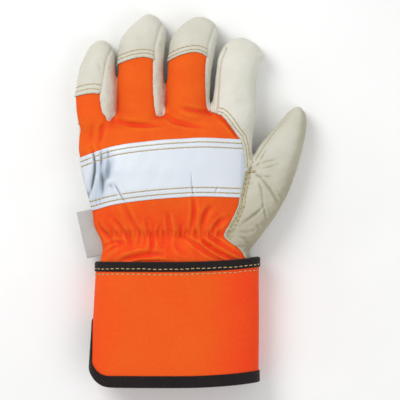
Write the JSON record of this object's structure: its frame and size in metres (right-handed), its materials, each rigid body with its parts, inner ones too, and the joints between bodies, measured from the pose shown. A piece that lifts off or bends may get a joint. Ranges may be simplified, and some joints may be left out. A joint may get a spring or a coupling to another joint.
{
  "type": "leather fitter glove",
  "caption": "Left-hand leather fitter glove with a hi-vis fabric back, reflective knuckle tape, elastic wrist and a split, bound safety cuff.",
  "frame": {"origin": "on the palm's flat rest face, under the middle of the hand", "axes": "+Z out of the back of the hand, +Y towards the fingertips, +X towards the thumb"},
  "size_m": [0.1719, 0.2733, 0.0426],
  "materials": {
    "grain_leather": "smooth off-white grain leather, slightly wrinkled",
    "orange_cotton": "matt hi-vis orange woven cotton",
    "reflective_tape": "silver glass-bead reflective tape",
    "orange_canvas": "rubberised orange canvas",
    "black_binding": "matt black woven binding",
    "grey_satin": "grey woven satin label, left bare"
  },
  "bodies": {
    "root": {"palm": "grain_leather", "thumb": "grain_leather", "index_finger": "grain_leather", "middle_finger_front": "grain_leather", "ring_finger_front": "grain_leather", "little_finger_front": "grain_leather", "middle_finger_tip": "grain_leather", "ring_finger_tip": "grain_leather", "little_finger_tip": "grain_leather", "fabric_back": "orange_cotton", "reflective_tape": "reflective_tape", "cuff": "orange_canvas", "cuff_top_binding": "black_binding", "cuff_edge_binding": "black_binding", "side_label": "grey_satin"}
  },
  "joints": []
}
